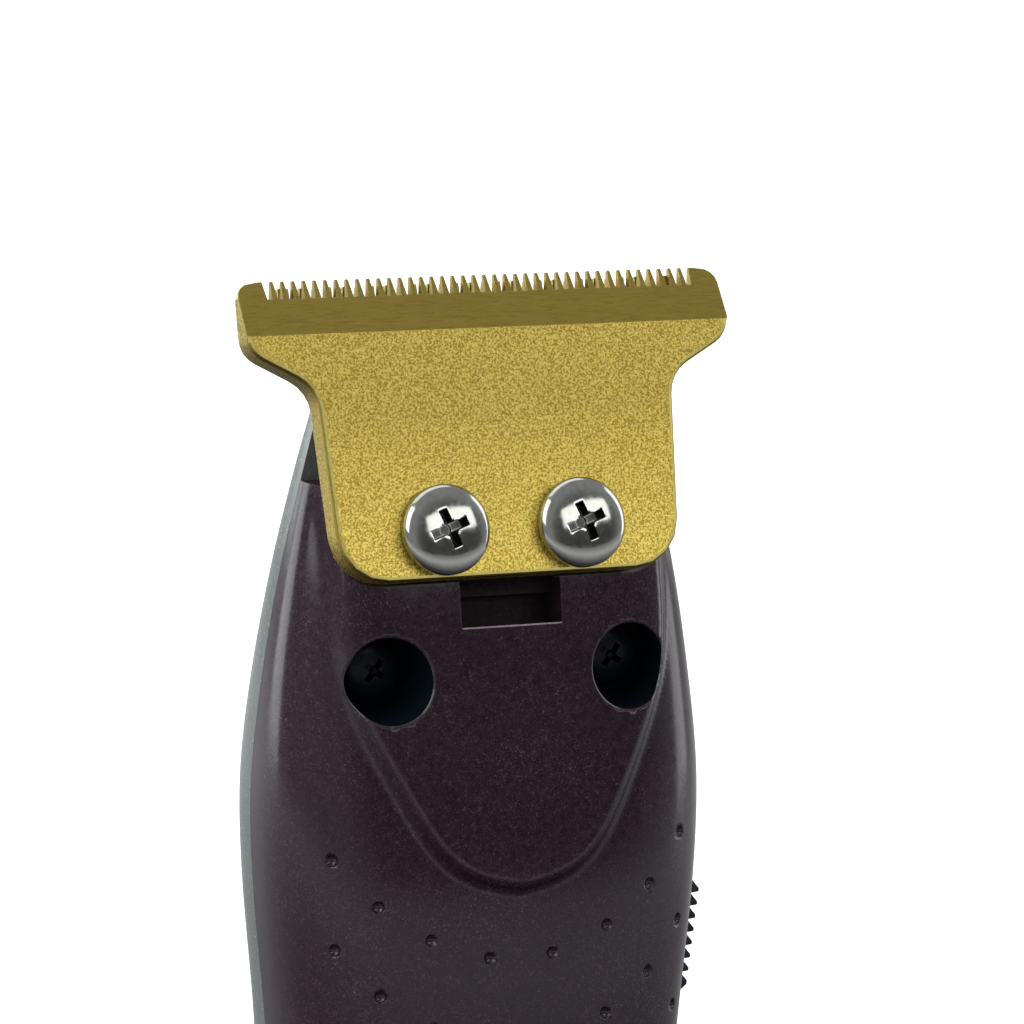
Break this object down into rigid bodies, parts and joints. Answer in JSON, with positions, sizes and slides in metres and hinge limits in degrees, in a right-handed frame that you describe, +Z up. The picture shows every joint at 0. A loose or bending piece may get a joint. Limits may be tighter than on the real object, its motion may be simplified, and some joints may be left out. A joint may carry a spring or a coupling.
{
  "type": "beard trimmer",
  "caption": "Cordless beard trimmer: T-shaped blade with a sliding cutter behind it, contoured two-half housing, side slide switch and a charging inlet in the base.",
  "frame": {"origin": "centre of the base, where the trimmer stands upright", "axes": "+Z up along the body towards the blade, -Y out of the blade's face, +X towards the slide switch"},
  "size_m": [0.0398, 0.0247, 0.1574],
  "materials": {
    "gold_plate": "titanium-gold coated steel, sand-blasted face, ground edge",
    "plum_plastic": "glossy lacquer with fine flecks",
    "grey_plastic": "glossy",
    "black_plastic": "satin",
    "white_plastic": "satin",
    "nickel": "polished nickel",
    "black_oxide": "black oxide on steel",
    "steel": "plain steel",
    "copper": "bare copper",
    "brass": "plated",
    "magnet": "sintered",
    "board_green": "solder mask",
    "battery_sleeve": "shrink sleeve",
    "foam": "closed-cell foam",
    "clear_plastic": "clear"
  },
  "bodies": {
    "trimmer": {"fixed_blade": "gold_plate", "nut_plate": "steel", "tension_spring": "steel", "blade_screw_left": "nickel", "blade_screw_right": "nickel", "front_housing": "plum_plastic", "rear_housing": "grey_plastic", "housing_screw_neck_left": "black_oxide", "housing_screw_neck_right": "black_oxide", "housing_screw_base_left": "black_oxide", "housing_screw_base_right": "black_oxide", "motor_can": "steel", "motor_end_bell": "white_plastic", "motor_terminal_left": "copper", "motor_terminal_right": "copper", "motor_magnet_left": "magnet", "motor_magnet_right": "magnet", "motor_mount": "black_plastic", "motor_screw_left": "nickel", "motor_screw_right": "nickel", "switch_body": "steel", "switch_board": "board_green", "battery_cell": "battery_sleeve", "battery_tab_lower": "nickel", "battery_tab_upper": "nickel", "battery_pad_lower": "foam", "battery_pad_upper": "foam", "main_board": "board_green", "control_chip": "black_plastic", "charge_coil": "copper", "capacitor": "nickel", "status_led": "white_plastic", "light_pipe": "clear_plastic", "bottom_cap": "black_plastic", "charging_inlet": "black_plastic", "inlet_contact_left": "brass", "inlet_contact_right": "brass"},
    "cutter": {"moving_cutter": "gold_plate", "cutter_follower": "black_plastic"},
    "rotor": {"motor_shaft": "steel", "motor_armature": "copper", "eccentric_hub": "black_plastic", "crank_pin": "steel"},
    "switch": {"slide_button": "black_plastic", "switch_lever": "white_plastic"}
  },
  "joints": [
    {"name": "cutter_stroke", "type": "slide", "parent": "trimmer", "child": "cutter", "axis": [1, 0, 0], "range_m": [-0.001, 0.001]},
    {"name": "rotor_spin", "type": "hinge", "parent": "trimmer", "child": "rotor", "pos_m": [0, 0.0016, 0.11], "axis": [0, 0, 1], "continuous": true},
    {"name": "switch_slide", "type": "slide", "parent": "trimmer", "child": "switch", "axis": [0.1027, 0, 0.9947], "range_m": [0, 0.0034]}
  ]
}
